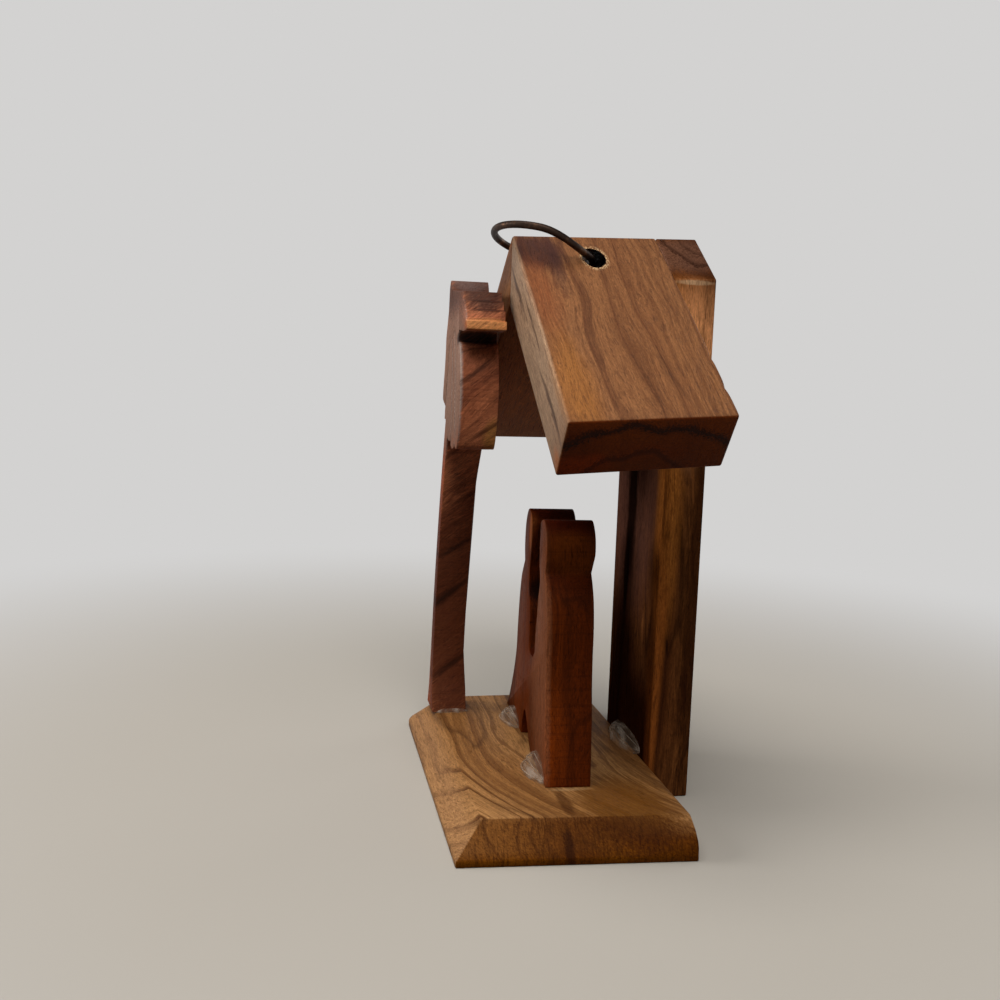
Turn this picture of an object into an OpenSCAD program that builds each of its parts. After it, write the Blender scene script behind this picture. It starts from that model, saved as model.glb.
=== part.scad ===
// Olive-wood nativity ornament: a roofed stable on a bevelled base, with a fret-sawn palm,
// a faceless holy-family silhouette and a wire hanging ring through the ridge.
// X runs along the stable (right when facing its open front), Y to the back, Z up.
// The origin is on the underside of the base, at its centre.

/* [Base] */
// Length of the base along the stable
base_l = 57.4; // [44:0.1:80]
// Width of the base from front to back
base_w = 30.7; // [24:0.1:44]
// Height of the base
base_h = 4.75; // [3:0.05:9]
// Inset of the bevel at the top of the front and both ends
base_bevel = 3.7; // [1:0.1:6]
// Upright land under the bevel
base_land = 0.9; // [0.3:0.1:2]
// Angle of the right end, which was sawn out of square
base_end_skew = 3.6; // [0:0.1:6]

/* [Back post] */
// Width of the post
post_w = 20.5; // [12:0.1:30]
// Thickness of the post
post_t = 6.05; // [3:0.05:10]
// Distance of the post's middle from the ridge line, to the left
post_shift = 1.5; // [0:0.1:4]

/* [Roof] */
// Height of the ridge above the table
ridge_h = 79.5; // [66:0.5:110]
// Place of the ridge line along the stable
ridge_x = 1; // [-4:0.1:4]
// Slope of both roof panels
roof_pitch = 35.4; // [28:0.1:45]
// Thickness of a roof panel
roof_t = 7.86; // [4:0.02:10]
// Length of a roof panel down the slope
roof_l = 41.3; // [32:0.1:50]
// Depth of the roof from its front face to the post
roof_d = 20.95; // [14:0.05:27]
// Angle of the right eave, which was sawn out of square
eave_skew = 5.5; // [0:0.1:8]

/* [Hanging ring] */
// Diameter of the bore under the ridge
bore_d = 3.5; // [3.2:0.1:4.5]
// Depth of the bore's axis below the ridge
bore_drop = 3.35; // [3:0.05:4]
// Distance of the bore's axis from the roof's front face
bore_setback = 10.5; // [6:0.1:14]
// Diameter of the wire
wire_d = 1; // [0.6:0.05:1.2]
// Radius of the ring, to the middle of the wire
ring_r = 7; // [6.4:0.1:9]
// Lean of the ring above the level, towards the front
ring_lean = 16; // [14:1:40]

/* [Palm tree] */
// Thickness of the palm board
palm_t = 5.5; // [3:0.1:7]
// Distance of the palm board from the front edge of the base
palm_setback = 2.95; // [2.5:0.05:4.5]
// Height of the trunk, from the base to the crown's lowest tip
trunk_h = 43.8; // [30:0.1:48]
// Width of the trunk where it is slim
trunk_w = 2.8; // [2:0.1:5]
// Width of the trunk at its foot
trunk_foot_w = 6.4; // [3:0.1:9]
// Place of the foot, to the left of the ridge line
trunk_foot_x = 21; // [10:0.1:24]
// Sweep of the trunk to the right between its foot and the crown
trunk_sweep = 8.7; // [2:0.1:14]
// Width of the crown
crown_w = 21.2; // [16:0.1:32]
// Height of the crown
crown_h = 24.7; // [16:0.1:32]
// Width of the saw kerfs between the fronds
kerf_w = 0.5; // [0.3:0.05:0.9]

/* [Holy family] */
// Thickness of the figures' board
family_t = 6.25; // [3:0.05:9]
// Width of the figures at their hems
family_w = 36.5; // [24:0.1:40]
// Height of the taller figure
family_h = 35.3; // [24:0.05:44]
// Distance of the figures from the front edge of the base
family_setback = 15; // [9:0.1:18]
// Place of the left hem, to the left of the ridge line
family_hem_x = 21.7; // [14:0.1:24]
// Turn of the figures' board about the upright
family_turn = 3; // [0:0.5:5]

/* [Glue] */
// Radius of the glue bead at the figures' feet
family_bead_r = 1.7; // [0.8:0.1:2.4]
// Radius of the glue bead along the post's foot
post_bead_r = 0.8; // [0.4:0.1:1.6]
// Radius of the glue bead at the palm's foot
palm_bead_r = 0.6; // [0.3:0.1:1.2]
// Length of the bead at the right figure's feet
right_bead_l = 12; // [6:0.1:14]
// Length of the bead at the left figure's feet
left_bead_l = 9.8; // [6:0.1:12]
// Length of the bead along the post's foot
post_bead_l = 12.8; // [6:0.1:18]
// Length of the bead beside the palm's foot
palm_bead_l = 4.4; // [2:0.1:5]

/* [Hidden] */
$fn = 64;
// Overshoot of cutting shapes past the faces that they cut
cut = 2;
// Number of steps in the trunk's curve, in each smooth stretch of an outline and in a kerf
trunk_steps = 16;
run_steps = 4;
kerf_steps = 10;
// The trunk runs on into the crown for this share of its height
trunk_root = 0.22;

base_front = -base_w / 2;
base_back = base_w / 2;
roof_front = base_back - roof_d;
bore_y = roof_front + bore_setback;
bore_z = ridge_h - bore_drop;
// Half the length of the bore where its axis meets the roof's slopes
bore_half = bore_drop / tan(roof_pitch);
// The wire's bow inside the bore lies half behind and half before the bore's axis
ring_bow = ring_r - sqrt(ring_r * ring_r - bore_half * bore_half);
ring_reach = ring_r - ring_bow / 2;

palm_front = base_front + palm_setback;
palm_back = palm_front + palm_t;
trunk_x = ridge_x - trunk_foot_x;
// Share of the crown's width that lies to the left of the trunk's top
crown_left_share = 0.18;
crown_x = trunk_x + trunk_sweep - crown_left_share * crown_w;
family_x = ridge_x - family_hem_x;
family_front = base_front + family_setback;

wood_light = "#b5834f";
wood_warm = "#8f5c3a";
wood_dark = "#6a3a1f";
wire_brown = "#4a3426";
glue_grey = "#cfc8ba";

// Outline of the palm's crown, in hundredths of its width and height, clockwise from the top
CROWN_TOP = [[21, 96], [24.5, 100], [29, 100], [32.5, 95.5]];
CROWN_STEPS = [[33, 94.5], [67, 92], [79, 91.5], [80.5, 86.5], [88, 86], [89, 81], [94, 80.5], [95, 75], [99.5, 74.5]];
CROWN_TIP = [[100, 70], [86, 69], [76, 70], [67, 70]];
CROWN_RIGHT = [[67, 63], [72, 62], [78.5, 50], [80.5, 35], [78.5, 18], [73, 5], [67, 2], [60.5, 5]];
CROWN_FINGERS = [[59.5, 3], [52.5, 1], [46, 2], [41.5, 5], [32.5, 5], [23.5, 10], [19, 17]];
CROWN_LEFT = [[12.5, 17], [12.5, 25], [6.5, 27], [1, 30], [3.5, 40], [6.5, 48], [9, 58], [10, 67], [14.5, 75], [19, 83]];
// Saw kerfs between the fronds: lower end, bend and upper end, in the same hundredths
CROWN_KERFS = [
    [[59, -3], [61.5, 35], [49.5, 70]],
    [[43, -3], [45, 35], [40.5, 66]],
    [[11, 21], [22.5, 40], [27, 62]]
];

// Outline of the two figures, in hundredths of their width and height, from the right hem up
RIGHT_FIGURE_SIDE = [[100, 0], [99, 6], [94, 30], [92, 46], [91.5, 60], [89.5, 70], [86.5, 76], [83.5, 80]];
RIGHT_FIGURE_HEAD = [[83.5, 80], [84.5, 87], [83.5, 94], [79.5, 99], [75.5, 100], [70.5, 98], [66.5, 92], [67, 84], [72, 79]];
RIGHT_FIGURE_FRONT = [[72, 79], [73, 75], [72, 70], [67.5, 62], [64.5, 53], [64, 43]];
LEFT_FIGURE_FRONT = [[60.5, 40], [55.5, 40], [52, 42], [51, 50], [51, 58], [47, 65], [46, 74]];
LEFT_FIGURE_HEAD = [[46, 74], [48, 81], [49, 88], [47.5, 95], [43, 98.5], [38, 98], [33.5, 92], [32.5, 83], [34, 76]];
LEFT_FIGURE_SIDE = [[34, 76], [30.5, 72], [27, 67], [24, 57], [22, 43], [21, 33], [17, 23], [11, 13], [4, 3.5], [0, 0]];
HEM_ARCH = [[40.5, 0], [41.5, 6], [45, 11.5], [48, 12.5], [53, 9], [59, 3], [63, 0]];

// Point on a smooth curve between the middle two of four points
function spline_at(a, b, c, d, t) =
    0.5 * (2 * b + (c - a) * t + (2 * a - 5 * b + 4 * c - d) * t * t + (3 * b - a - 3 * c + d) * t * t * t);

// Smooth open run through hand-chosen points
function smooth_run(points) = [
    for (i = [0 : len(points) - 2])
        let (a = points[max(i - 1, 0)], b = points[i], c = points[i + 1], d = points[min(i + 2, len(points) - 1)])
            for (s = [0 : run_steps - 1]) spline_at(a, b, c, d, s / run_steps),
    points[len(points) - 1]
];

// Outline in hundredths, at a width and a height
function drawn(points, w, h) = [for (p = points) [p.x * w / 100, p.y * h / 100]];

// Middle and width of the palm's trunk at a share of its height
function trunk_mid(s) = trunk_x + trunk_sweep * pow(s, 1.6);
function trunk_width(s) = trunk_w + (trunk_foot_w - trunk_w) * pow(1 - s, 12);

// Upright board: an outline in X and Z, with its front face at a place along Y
module board(front, thickness) {
    translate([0, front + thickness, 0])
        rotate([90, 0, 0])
            linear_extrude(thickness)
                children();
}

// Removes what lies past an end of the base, whose face is bevelled above the land
module base_end_cut() {
    rise = base_h - base_land;
    board(-base_w, 2 * base_w)
        polygon([
            [0, -cut], [0, base_land], [-base_bevel, base_h],
            [-base_bevel - cut * base_bevel / rise, base_h + cut],
            [base_l, base_h + cut], [base_l, -cut]
        ]);
}

module base() {
    color(wood_light)
        difference() {
            translate([-base_l, 0, 0])
                rotate([90, 0, 90])
                    linear_extrude(2 * base_l)
                        polygon([
                            [base_front, 0], [base_front, base_land],
                            [base_front + base_bevel, base_h], [base_back, base_h], [base_back, 0]
                        ]);
            translate([base_l / 2, 0, 0])
                rotate([0, 0, -base_end_skew])
                    base_end_cut();
            translate([-base_l / 2, 0, 0])
                mirror([1, 0, 0])
                    base_end_cut();
        }
}

module back_post() {
    left = ridge_x - post_shift - post_w / 2;
    right = left + post_w;
    color(wood_warm)
        board(base_back, post_t)
            polygon([
                [left, 0], [right, 0],
                [right, ridge_h - (right - ridge_x) * tan(roof_pitch)],
                [ridge_x, ridge_h],
                [left, ridge_h - (ridge_x - left) * tan(roof_pitch)]
            ]);
}

module ring_bore() {
    translate([ridge_x - roof_l, bore_y, bore_z])
        rotate([0, 90, 0])
            cylinder(h = 2 * roof_l, d = bore_d);
}

// Right-hand roof panel about the ridge line, mitred upright at the ridge and square at the eave
module roof_panel(skew) {
    difference() {
        intersection() {
            rotate([0, roof_pitch, 0])
                translate([-roof_t, 0, -roof_t])
                    cube([roof_t + roof_l + cut, roof_d, roof_t]);
            translate([0, 0, -roof_l - roof_t])
                cube([2 * roof_l, roof_d, roof_l + 2 * roof_t]);
        }
        rotate([0, roof_pitch, 0])
            translate([roof_l, roof_d / 2, -2 * roof_t])
                rotate([0, 0, skew])
                    translate([0, -roof_d, 0])
                        cube([roof_l, 2 * roof_d, 3 * roof_t]);
    }
}

module roof_panel_right() {
    color(wood_warm)
        difference() {
            translate([ridge_x, roof_front, ridge_h])
                roof_panel(eave_skew);
            ring_bore();
        }
}

module roof_panel_left() {
    color(wood_warm)
        difference() {
            translate([ridge_x, roof_front, ridge_h])
                mirror([1, 0, 0])
                    roof_panel(0);
            ring_bore();
        }
}

module trunk_outline() {
    shares = [for (i = [0 : trunk_steps]) (1 + trunk_root) * i / trunk_steps];
    polygon(concat(
        [for (s = shares) [trunk_mid(s) - trunk_width(s) / 2, trunk_h * s]],
        [for (i = [trunk_steps : -1 : 0]) [trunk_mid(shares[i]) + trunk_width(shares[i]) / 2, trunk_h * shares[i]]]
    ));
}

// Thin curved cut along a lower end, a bend and an upper end
module kerf_outline(points) {
    path = [
        for (i = [0 : kerf_steps])
            let (t = i / kerf_steps)
                (1 - t) * (1 - t) * points[0] + 2 * t * (1 - t) * points[1] + t * t * points[2]
    ];
    half = [kerf_w / 2, 0];
    polygon(concat(
        [for (p = path) p - half],
        [for (i = [kerf_steps : -1 : 0]) path[i] + half]
    ));
}

module crown_outline() {
    outline = concat(
        smooth_run(CROWN_TOP), CROWN_STEPS, smooth_run(CROWN_TIP), smooth_run(CROWN_RIGHT),
        smooth_run(CROWN_FINGERS), smooth_run(CROWN_LEFT)
    );
    polygon(drawn(outline, crown_w, crown_h));
}

module palm_outline() {
    difference() {
        union() {
            trunk_outline();
            translate([crown_x, trunk_h])
                crown_outline();
        }
        translate([crown_x, trunk_h])
            for (kerf = CROWN_KERFS)
                kerf_outline(drawn(kerf, crown_w, crown_h));
    }
}

module palm_tree() {
    color(wood_dark)
        translate([0, 0, base_h])
            board(palm_front, palm_t)
                palm_outline();
}

// Places what stands with the figures, in the plane of their turned board
module at_family() {
    translate([ridge_x, family_front, base_h])
        rotate([0, 0, -family_turn])
            translate([family_x - ridge_x, 0, 0])
                children();
}

module holy_family() {
    outline = concat(
        smooth_run(RIGHT_FIGURE_SIDE), smooth_run(RIGHT_FIGURE_HEAD), smooth_run(RIGHT_FIGURE_FRONT),
        smooth_run(LEFT_FIGURE_FRONT), smooth_run(LEFT_FIGURE_HEAD), smooth_run(LEFT_FIGURE_SIDE),
        smooth_run(HEM_ARCH)
    );
    color(wood_dark)
        at_family()
            board(0, family_t)
                polygon(drawn(outline, family_w, family_h));
}

module hanging_ring() {
    color(wire_brown)
        translate([ridge_x, bore_y, bore_z])
            rotate([-ring_lean, 0, 0])
                translate([0, -ring_reach, 0])
                    rotate_extrude()
                        translate([ring_r, 0])
                            circle(d = wire_d);
}

// Quarter-round bead of glue from the origin along X, against the face behind it
module glue_bead(length, radius) {
    intersection() {
        union() {
            translate([radius, 0, 0])
                rotate([0, 90, 0])
                    cylinder(h = length - 2 * radius, r = radius);
            for (x = [radius, length - radius])
                translate([x, 0, 0])
                    sphere(r = radius);
        }
        translate([-cut, -2 * radius, 0])
            cube([length + 2 * cut, 2 * radius, 2 * radius]);
    }
}

module glue_figure_right() {
    color(glue_grey)
        at_family()
            translate([family_w - right_bead_l, 0, 0])
                glue_bead(right_bead_l, family_bead_r);
}

module glue_figure_left() {
    // The bead starts a tenth of the way along the flared hem
    color(glue_grey)
        at_family()
            translate([family_w / 10, 0, 0])
                glue_bead(left_bead_l, family_bead_r);
}

module glue_post() {
    color(glue_grey)
        translate([ridge_x - post_shift - post_bead_l / 2, base_back, base_h])
            glue_bead(post_bead_l, post_bead_r);
}

module glue_palm() {
    color(glue_grey)
        translate([trunk_x + trunk_foot_w / 2, palm_back - palm_bead_l, base_h])
            rotate([0, 0, 90])
                glue_bead(palm_bead_l, palm_bead_r);
}

base();
back_post();
roof_panel_right();
roof_panel_left();
palm_tree();
holy_family();
hanging_ring();
glue_figure_right();
glue_figure_left();
glue_post();
glue_palm();
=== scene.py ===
# %% [markdown]
# # An olive-wood nativity ornament
# A small stable of sawn olive wood stands on a bevelled base: a back post, two roof boards, a palm and a
# family group, each a single board, and a wire ring to hang it by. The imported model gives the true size
# and place of every board. This lesson models each board again as a maker would leave it, with eased
# edges, a torn drill hole and set glue, and gives each one its own piece of the log.

# %% Load the frame
import math
import random
from collections import namedtuple

import bmesh
import bpy
from mathutils import Matrix, Vector


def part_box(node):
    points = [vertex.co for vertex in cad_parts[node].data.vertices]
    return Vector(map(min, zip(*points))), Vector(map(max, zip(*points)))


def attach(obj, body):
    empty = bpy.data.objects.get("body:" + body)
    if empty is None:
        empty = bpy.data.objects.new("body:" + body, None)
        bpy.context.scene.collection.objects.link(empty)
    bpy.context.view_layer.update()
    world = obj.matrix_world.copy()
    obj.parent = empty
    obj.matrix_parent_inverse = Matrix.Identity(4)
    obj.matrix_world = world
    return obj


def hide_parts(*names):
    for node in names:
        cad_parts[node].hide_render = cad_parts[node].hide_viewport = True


MM = 0.001
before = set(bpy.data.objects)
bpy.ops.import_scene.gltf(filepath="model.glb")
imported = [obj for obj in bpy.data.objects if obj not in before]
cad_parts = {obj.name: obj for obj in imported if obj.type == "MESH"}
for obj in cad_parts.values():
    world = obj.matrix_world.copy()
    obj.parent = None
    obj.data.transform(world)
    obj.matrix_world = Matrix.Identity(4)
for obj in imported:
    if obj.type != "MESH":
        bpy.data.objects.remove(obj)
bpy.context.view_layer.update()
scene = bpy.context.scene
scene.view_settings.view_transform = "Standard"

# %% [markdown]
# ## Camera
# The camera stands close to the right-hand end of the stable and a little to its front, as in a
# hand-held picture. Its place was worked out from the straight edges of the base, post and roof. A
# camera looks along its own -Z, so its turn is built from three directions: right, up and back.

# %% Camera at the picture's place
CAMERA_PLACE = Vector((147.48, -35.53, 60.30)) * MM
CAMERA_YAW = math.radians(11.40)
CAMERA_PITCH = math.radians(6.99)
CAMERA_ROLL = math.radians(2.01)
FOCAL_PIXELS = 1049.74
FRAME_PIXELS = 1000
SENSOR_MM = 36.0
NEAR_LIMIT = 0.005
FAR_LIMIT = 20.0

forward = Vector((
    -math.cos(CAMERA_YAW) * math.cos(CAMERA_PITCH),
    math.sin(CAMERA_YAW) * math.cos(CAMERA_PITCH),
    -math.sin(CAMERA_PITCH),
))
level_right = Vector((math.sin(CAMERA_YAW), math.cos(CAMERA_YAW), 0.0))
level_up = level_right.cross(forward)
right = math.cos(CAMERA_ROLL) * level_right + math.sin(CAMERA_ROLL) * level_up
up = math.cos(CAMERA_ROLL) * level_up - math.sin(CAMERA_ROLL) * level_right

lens = bpy.data.cameras.new("picture_camera")
lens.sensor_width = SENSOR_MM
lens.lens = FOCAL_PIXELS * SENSOR_MM / FRAME_PIXELS
lens.clip_start = NEAR_LIMIT
lens.clip_end = FAR_LIMIT
camera = bpy.data.objects.new("picture_camera", lens)
camera_turn = Matrix((right, up, -forward)).transposed().to_4x4()
camera.matrix_world = Matrix.Translation(CAMERA_PLACE) @ camera_turn
scene.collection.objects.link(camera)
scene.camera = camera
print("lens", round(lens.lens, 2), "mm")

# %% [markdown]
# ## Selecting in code
# Operators act on whatever is selected, so each step first makes one object the only selected one.
# `pick_edges` selects edges by their place or direction, as a hand would click on them.


# %% Selection helpers
def only(obj):
    """Makes obj the one selected and active object."""
    bpy.ops.object.select_all(action="DESELECT")
    obj.select_set(True)
    bpy.context.view_layer.objects.active = obj


def pick_edges(obj, test):
    """In edit mode, selects the edges of obj that pass the test, and counts them."""
    bpy.ops.mesh.select_mode(type="EDGE")
    bpy.ops.mesh.select_all(action="DESELECT")
    net = bmesh.from_edit_mesh(obj.data)
    chosen = [edge for edge in net.edges if test(edge)]
    for edge in chosen:
        edge.select_set(True)
    net.select_flush(True)
    bmesh.update_edit_mesh(obj.data)
    return len(chosen)


print("selection helpers ready")

# %% [markdown]
# ## Bench tools
# The boards were sawn, drilled and sanded, so the helpers are a blank, a saw and sandpaper. A saw cut
# could be a boolean with a big box, but a bisect that fills its cut is exact and leaves clean faces. A
# bevel on every sharp edge does what sandpaper does.


# %% Blank, saw and sandpaper
def block(name, low, high):
    """A sawn blank between two corners."""
    bpy.ops.object.select_all(action="DESELECT")
    bpy.ops.mesh.primitive_cube_add(size=1.0, location=(low + high) / 2)
    obj = bpy.context.object
    obj.name = name
    obj.scale = high - low
    bpy.ops.object.transform_apply(location=True, rotation=True, scale=True)
    return obj


def saw(obj, point, outward):
    """Saws off what lies past a plane, and closes the cut."""
    only(obj)
    bpy.ops.object.mode_set(mode="EDIT")
    bpy.ops.mesh.select_all(action="SELECT")
    bpy.ops.mesh.bisect(plane_co=point, plane_no=outward, use_fill=True, clear_outer=True)
    bpy.ops.object.mode_set(mode="OBJECT")


def apply_modifier(obj, kind, **settings):
    """Adds a modifier, sets it and applies it."""
    only(obj)
    modifier = obj.modifiers.new(kind.lower(), kind)
    for key, value in settings.items():
        setattr(modifier, key, value)
    bpy.ops.object.modifier_apply(modifier=modifier.name)


def ease_edges(obj, width, segments=3, angle=30):
    """Rounds every edge that is sharper than angle, as sandpaper does."""
    apply_modifier(
        obj, "BEVEL", width=width, segments=segments, limit_method="ANGLE",
        angle_limit=math.radians(angle), miter_outer="MITER_ARC",
    )


print("bench tools ready")

# %% [markdown]
# ## Handing a piece over
# Every finished piece is shaded smooth up to a limit angle, gets one finish, rides on a body of the
# frame and stands for one CAD node. Doing that in one place keeps any piece from missing a step.

# %% Hand-over
SMOOTH_BELOW = math.radians(35)


def triangles(obj):
    """How many triangles the mesh of obj has."""
    obj.data.calc_loop_triangles()
    return len(obj.data.loop_triangles)


def hand_over(obj, finish, body, node):
    """Smooths, paints and places a finished piece on its body, in place of its CAD node."""
    only(obj)
    bpy.ops.object.shade_smooth_by_angle(angle=SMOOTH_BELOW)
    obj.data.materials.clear()
    obj.data.materials.append(finish)
    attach(obj, body)
    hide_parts(node)
    print(obj.name, "stands for", node, "with", triangles(obj), "triangles")


print("hand-over ready")

# %% [markdown]
# ## Writing shader maths as sums
# A procedural material is a graph of small nodes. `Wire` wraps one output socket, so that `1 - mask`
# or `a * b + c` adds the Math nodes by itself, and `Finish.add` makes every other node: it sets the
# node's own settings first and then fills or links its sockets.


# %% Wire: a socket that can be used in sums
class Wire:
    """A shader value that can be used in sums."""

    def __init__(self, finish, socket):
        self.finish = finish
        self.socket = socket

    def maths(self, operation, first, second):
        return self.finish.add("ShaderNodeMath", {0: first, 1: second}, operation=operation)

    def __add__(self, other):
        return self.maths("ADD", self, other)

    def __radd__(self, other):
        return self.maths("ADD", other, self)

    def __sub__(self, other):
        return self.maths("SUBTRACT", self, other)

    def __rsub__(self, other):
        return self.maths("SUBTRACT", other, self)

    def __mul__(self, other):
        return self.maths("MULTIPLY", self, other)

    def __rmul__(self, other):
        return self.maths("MULTIPLY", other, self)

    def __truediv__(self, other):
        return self.maths("DIVIDE", self, other)

    def __abs__(self):
        return self.maths("ABSOLUTE", self, 0.0)


print("sums ready")


# %% Finish: a material under construction
class Finish:
    """A material under construction."""

    def __init__(self, name):
        self.material = bpy.data.materials.new(name)
        self.material.use_nodes = True
        self.tree = self.material.node_tree
        self.shader = self.tree.nodes["Principled BSDF"]

    def fill(self, node, sockets):
        for key, value in sockets.items():
            if isinstance(value, Wire):
                self.tree.links.new(value.socket, node.inputs[key])
            else:
                node.inputs[key].default_value = value

    def add(self, kind, sockets=None, out=0, **settings):
        """Adds a node with its settings, then its sockets, and gives one of its outputs."""
        node = self.tree.nodes.new(kind)
        for key, value in settings.items():
            setattr(node, key, value)
        self.fill(node, sockets or {})
        return Wire(self, node.outputs[out])

    def surface(self, **sockets):
        """Fills the main shader's sockets, such as base_color."""
        named = {key.replace("_", " ").title(): value for key, value in sockets.items()}
        self.fill(self.shader, named)
        return self.material

    def vector(self, operation, first, second=(0.0, 0.0, 0.0), out=0):
        return self.add("ShaderNodeVectorMath", {0: first, 1: second}, out=out, operation=operation)

    def length(self, vector):
        return self.vector("LENGTH", vector, out=1)

    def part(self, vector, axis):
        """One part of a vector: 0, 1 or 2 for X, Y or Z."""
        return self.add("ShaderNodeSeparateXYZ", {0: vector}, out=axis)

    def fraction(self, value):
        return self.add("ShaderNodeMath", {0: value}, operation="FRACT")

    def noise(self, vector, scale=1.0, detail=2.0, roughness=0.5, out=0):
        sockets = {"Vector": vector, "Scale": scale, "Detail": detail, "Roughness": roughness}
        return self.add("ShaderNodeTexNoise", sockets, out=out)

    def drawn_noise(self, vector, rates, **settings):
        """Noise with its own rate on each axis, so that it is drawn out along the slowest one."""
        return self.noise(self.vector("MULTIPLY", vector, rates), **settings)

    def noise_along(self, value, detail=2.0, roughness=0.5):
        sockets = {"W": value, "Scale": 1.0, "Detail": detail, "Roughness": roughness}
        return self.add("ShaderNodeTexNoise", sockets, noise_dimensions="1D")

    def step(self, value, low, high):
        """0 below low, 1 above high, and a smooth rise between."""
        sockets = {"Value": value, "From Min": low, "From Max": high}
        return self.add("ShaderNodeMapRange", sockets, interpolation_type="SMOOTHSTEP")

    def mix(self, share, first, second, blend="MIX"):
        sockets = {0: share, 6: first, 7: second}
        return self.add("ShaderNodeMix", sockets, out=2, data_type="RGBA", blend_type=blend)


def colour(red, green, blue):
    """A colour as a picture program gives it, 0 to 255, in the linear form that shaders use."""
    def linear(level):
        share = level / 255
        return share / 12.92 if share <= 0.04045 else ((share + 0.055) / 1.055) ** 2.4
    return (linear(red), linear(green), linear(blue), 1.0)


print("finishes ready")

# %% [markdown]
# ## Olive wood: a place in the log
# Olive is a slow, twisted tree: pale golden wood with brown zones, thin dark lines that flow like
# contours, short pores, and dark end grain. A flat picture would stretch over a board's edges, so the
# finish is solid: each point of a board is placed in the log that it was sawn from, with the grain
# along the log's Z, and its colour is worked out there. A board then shows long streaks on its faces
# and curved rings on its ends. Slow noise bends the log, because no olive grows straight.

# %% Place in the log
METRES_TO_MM = (1000.0, 1000.0, 1000.0)
NOISE_MIDDLE = (0.5, 0.5, 0.5)
WANDER_PER_MM = (0.2, 0.2, 0.05)
BEND_PER_MM = (0.06, 0.06, 0.016)
BEND_MM = (9.0, 9.0, 0.0)


def log_place(f, place, angles, pith, sweep):
    """A board's point in its log, in mm. Sweep bends the grain aside where the log's Z is positive."""
    log = f.add("ShaderNodeMapping", {
        "Vector": place, "Location": [-p for p in pith], "Rotation": angles, "Scale": METRES_TO_MM,
    })
    if sweep:
        past = f.add("ShaderNodeMath", {0: f.part(log, 2), 1: 0.0}, operation="MAXIMUM")
        swept = f.add("ShaderNodeCombineXYZ", {1: past * past * -sweep})
        log = f.vector("ADD", log, swept)
    return log


def twisted(f, log, waver):
    """The log with its grain wavering by some mm, and that log again with its slow bends."""
    wander = f.drawn_noise(log, WANDER_PER_MM, detail=1.0, out=1)
    aside = f.vector("MULTIPLY", f.vector("SUBTRACT", wander, NOISE_MIDDLE), (waver,) * 3)
    waved = f.vector("ADD", log, aside)
    slow = f.drawn_noise(log, BEND_PER_MM, detail=2.0, out=1)
    push = f.vector("SUBTRACT", slow, NOISE_MIDDLE)
    bent = f.vector("ADD", waved, f.vector("MULTIPLY", push, BEND_MM))
    return waved, bent


print("log bends by", BEND_MM[0] / 2, "mm each way at most")

# %% [markdown]
# ## Olive wood: growth
# The distance from the log's middle counts the years. Noise along that count gives broad zones and
# narrower bands, its fraction gives the rings, and level lines of a slow field give the thin dark veins.
# Plain rings look turned on a lathe, so a ripple pushes them in and out.

# %% Zones, bands, rings and veins
Growth = namedtuple("Growth", "zone band ring vein")
ACROSS = (1.0, 1.0, 0.0)
RIPPLE_PER_MM = (0.6, 0.6, 0.04)
RIPPLE_YEARS = 0.9
ZONES_PER_YEAR = 0.16
ZONE_EDGE = (0.36, 0.68)
BANDS_PER_YEAR = 0.9
RING_EDGE = (0.62, 1.0)
FIELD_PER_MM = (0.09, 0.09, 0.012)
FIELD_LEVELS = 6.0
VEIN_EDGE = (0.0, 0.09)


def growth_figure(f, log, bent, ring_mm):
    """Zones, bands, rings and veins, each from 0 to 1."""
    reach = f.length(f.vector("MULTIPLY", bent, ACROSS))
    ripple = f.drawn_noise(log, RIPPLE_PER_MM, detail=3.0)
    years = reach / ring_mm + ripple * RIPPLE_YEARS
    zone = f.step(f.noise_along(years * ZONES_PER_YEAR, detail=1.0), *ZONE_EDGE)
    band = f.noise_along(years * BANDS_PER_YEAR, detail=3.0, roughness=0.65)
    ring = f.step(f.fraction(years), *RING_EDGE)
    field = f.drawn_noise(bent, FIELD_PER_MM, detail=2.0, roughness=0.45)
    vein = 1 - f.step(abs(f.fraction(field * FIELD_LEVELS) - 0.5), *VEIN_EDGE)
    return Growth(zone, band, ring, vein)


print("growth has", ZONES_PER_YEAR, "zones and", BANDS_PER_YEAR, "bands a year")

# %% [markdown]
# ## Olive wood: fibres and end grain
# Close up, the wood is all fibres, pores and flecks, and each is noise drawn out along the grain. Where
# a cut crosses the grain, the open pores drink more oil and turn darker. The surface's own direction,
# turned into the log, tells which cut it is.

# %% Fibres and end grain
FIBRE_PER_MM = (3.4, 3.4, 0.25)
PORE_PER_MM = (5.5, 5.5, 0.6)
PORE_EDGE = (0.56, 0.70)
FLECK_PER_MM = (4.5, 4.5, 0.8)
FLECK_EDGE = (0.58, 0.74)
SPECK_PER_MM = (7.0, 7.0, 2.2)
END_GRAIN_EDGE = (0.35, 0.8)


def fine_grain(f, waved):
    """Fibres, pores, flecks and specks."""
    fibre = f.drawn_noise(waved, FIBRE_PER_MM, detail=4.0, roughness=0.65)
    pore = f.step(f.drawn_noise(waved, PORE_PER_MM, detail=2.0), *PORE_EDGE)
    fleck = f.step(f.drawn_noise(waved, FLECK_PER_MM, detail=1.0), *FLECK_EDGE)
    speck = f.drawn_noise(waved, SPECK_PER_MM, detail=2.0, roughness=0.6)
    return fibre, pore, fleck, speck


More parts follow.
